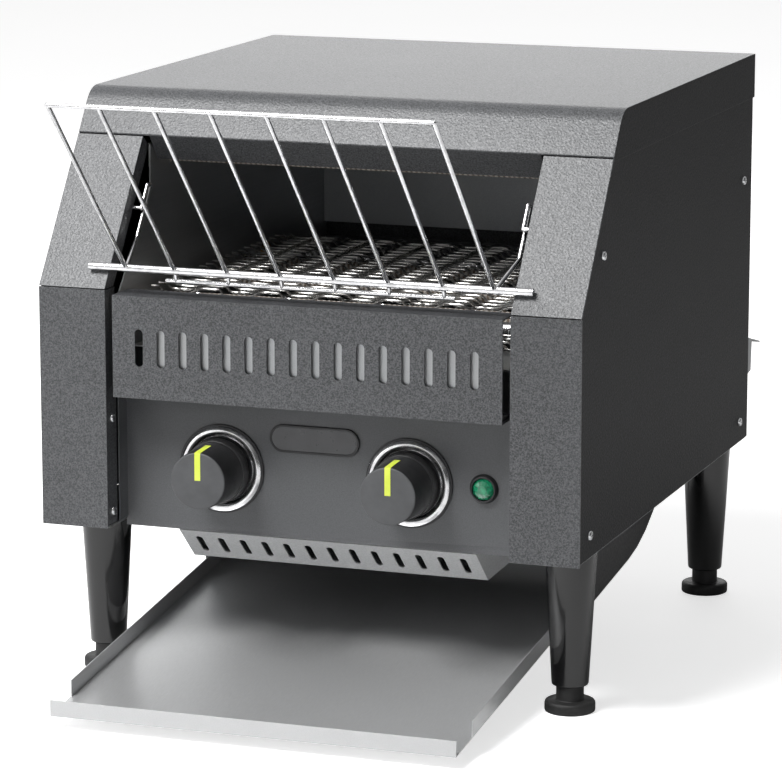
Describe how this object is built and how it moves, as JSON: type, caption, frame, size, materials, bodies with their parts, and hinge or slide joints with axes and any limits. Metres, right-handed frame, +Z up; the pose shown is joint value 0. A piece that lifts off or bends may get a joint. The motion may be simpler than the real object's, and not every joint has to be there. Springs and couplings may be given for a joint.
{
  "type": "conveyor toaster",
  "caption": "Countertop conveyor toaster with charcoal casing, wire feed rack, two dials, wire mesh belt and a sloping steel tray, on round legs",
  "frame": {"origin": "middle of the whole footprint, on the floor", "axes": "X to the right seen from the front, Y from front to back, Z up"},
  "size_m": [0.3696, 0.5655, 0.4015],
  "materials": {
    "powder_charcoal": "satin",
    "screw_zinc": "polished",
    "galvanised": "satin",
    "panel_grey": "satin",
    "bright_ring": "polished",
    "black_plastic": "matte",
    "steel": "satin",
    "knob_plastic": "matte",
    "pointer_green": "gloss",
    "control_case": "matte",
    "lens_green": "gloss",
    "badge_black": "gloss",
    "vent_grey": "satin",
    "chute_black": "satin",
    "tray_steel": "satin",
    "belt_steel": "satin",
    "bronze": "satin",
    "chain_steel": "satin",
    "gear_case": "satin",
    "motor_iron": "satin",
    "heater_glass": "polished",
    "ceramic": "satin",
    "terminal_white": "gloss",
    "leg_black": "gloss",
    "foot_black": "matte",
    "rack_chrome": "polished"
  },
  "bodies": {
    "casing": {"side_panel_left": "powder_charcoal", "side_panel_right": "powder_charcoal", "top_hood": "powder_charcoal", "rear_panel": "powder_charcoal", "casing_screws": "screw_zinc", "rear_spacers": "galvanised", "base_plate": "galvanised", "front_post_left": "powder_charcoal", "front_post_right": "powder_charcoal", "slope_plate_left": "powder_charcoal", "slope_plate_right": "powder_charcoal", "window_header": "powder_charcoal", "vent_panel": "powder_charcoal", "vent_baffle": "galvanised", "control_panel": "panel_grey", "dial_ring_left": "bright_ring", "dial_ring_right": "bright_ring", "dial_backs": "black_plastic", "speed_control": "control_case", "heat_selector": "control_case", "lamp_bezel": "black_plastic", "lamp_lens": "lens_green", "badge_plate": "badge_black", "lower_vent": "vent_grey", "oven_wall_left": "galvanised", "oven_wall_right": "galvanised", "ceiling_reflector": "galvanised", "control_shield": "galvanised", "toast_chute": "chute_black", "conveyor_belt": "belt_steel", "shaft_bushes": "bronze", "drive_chain": "chain_steel", "motor_gearbox": "gear_case", "motor_frame": "motor_iron", "upper_heaters": "heater_glass", "lower_heaters": "heater_glass", "heater_caps": "ceramic", "terminal_block": "terminal_white", "cable_gland": "black_plastic", "legs": "leg_black", "leg_bolts": "screw_zinc"},
    "rack": {"feed_rack": "rack_chrome"},
    "tray": {"toast_tray": "tray_steel"},
    "left_dial": {"knob_left": "knob_plastic", "knob_pointer_left": "pointer_green", "dial_spindle_left": "steel"},
    "right_dial": {"knob_right": "knob_plastic", "knob_pointer_right": "pointer_green", "dial_spindle_right": "steel"},
    "front_shaft": {"belt_shaft_front": "steel", "belt_wheels_front": "steel"},
    "rear_shaft": {"belt_shaft_rear": "steel", "belt_wheels_rear": "steel", "driven_sprocket": "steel"},
    "motor_output": {"motor_shaft": "steel", "motor_sprocket": "steel"},
    "front_left_foot": {"foot_front_left": "foot_black"},
    "front_right_foot": {"foot_front_right": "foot_black"},
    "rear_left_foot": {"foot_rear_left": "foot_black"},
    "rear_right_foot": {"foot_rear_right": "foot_black"}
  },
  "joints": [
    {"name": "rack_fold", "type": "hinge", "parent": "casing", "child": "rack", "pos_m": [0, -0.12525, 0.3135], "axis": [-1, 0, 0], "range_deg": [0, 110]},
    {"name": "tray_slide", "type": "slide", "parent": "casing", "child": "tray", "axis": [0, -1, 0], "range_m": [0, 0.15]},
    {"name": "left_dial_turn", "type": "hinge", "parent": "casing", "child": "left_dial", "pos_m": [-0.069, -0.15125, 0.1476], "axis": [0, 1, 0], "range_deg": [0, 270]},
    {"name": "right_dial_turn", "type": "hinge", "parent": "casing", "child": "right_dial", "pos_m": [0.0606, -0.15125, 0.1476], "axis": [0, 1, 0], "range_deg": [0, 270]},
    {"name": "rear_shaft_turn", "type": "hinge", "parent": "casing", "child": "rear_shaft", "pos_m": [0, 0.10475, 0.2475], "axis": [1, 0, 0], "continuous": true},
    {"name": "front_shaft_turn", "type": "hinge", "parent": "casing", "child": "front_shaft", "pos_m": [0, -0.12125, 0.2475], "axis": [1, 0, 0], "continuous": true},
    {"name": "motor_turn", "type": "hinge", "parent": "casing", "child": "motor_output", "pos_m": [0.152, 0.15375, 0.168], "axis": [1, 0, 0], "continuous": true},
    {"name": "front_left_foot_height", "type": "slide", "parent": "casing", "child": "front_left_foot", "axis": [0, 0, -1], "range_m": [0, 0.012]},
    {"name": "front_right_foot_height", "type": "slide", "parent": "casing", "child": "front_right_foot", "axis": [0, 0, -1], "range_m": [0, 0.012]},
    {"name": "rear_left_foot_height", "type": "slide", "parent": "casing", "child": "rear_left_foot", "axis": [0, 0, -1], "range_m": [0, 0.012]},
    {"name": "rear_right_foot_height", "type": "slide", "parent": "casing", "child": "rear_right_foot", "axis": [0, 0, -1], "range_m": [0, 0.012]}
  ],
  "couplings": [
    {"joint": "front_shaft_turn", "follows": "rear_shaft_turn", "ratio": 1},
    {"joint": "motor_turn", "follows": "rear_shaft_turn", "ratio": 1.4286}
  ]
}
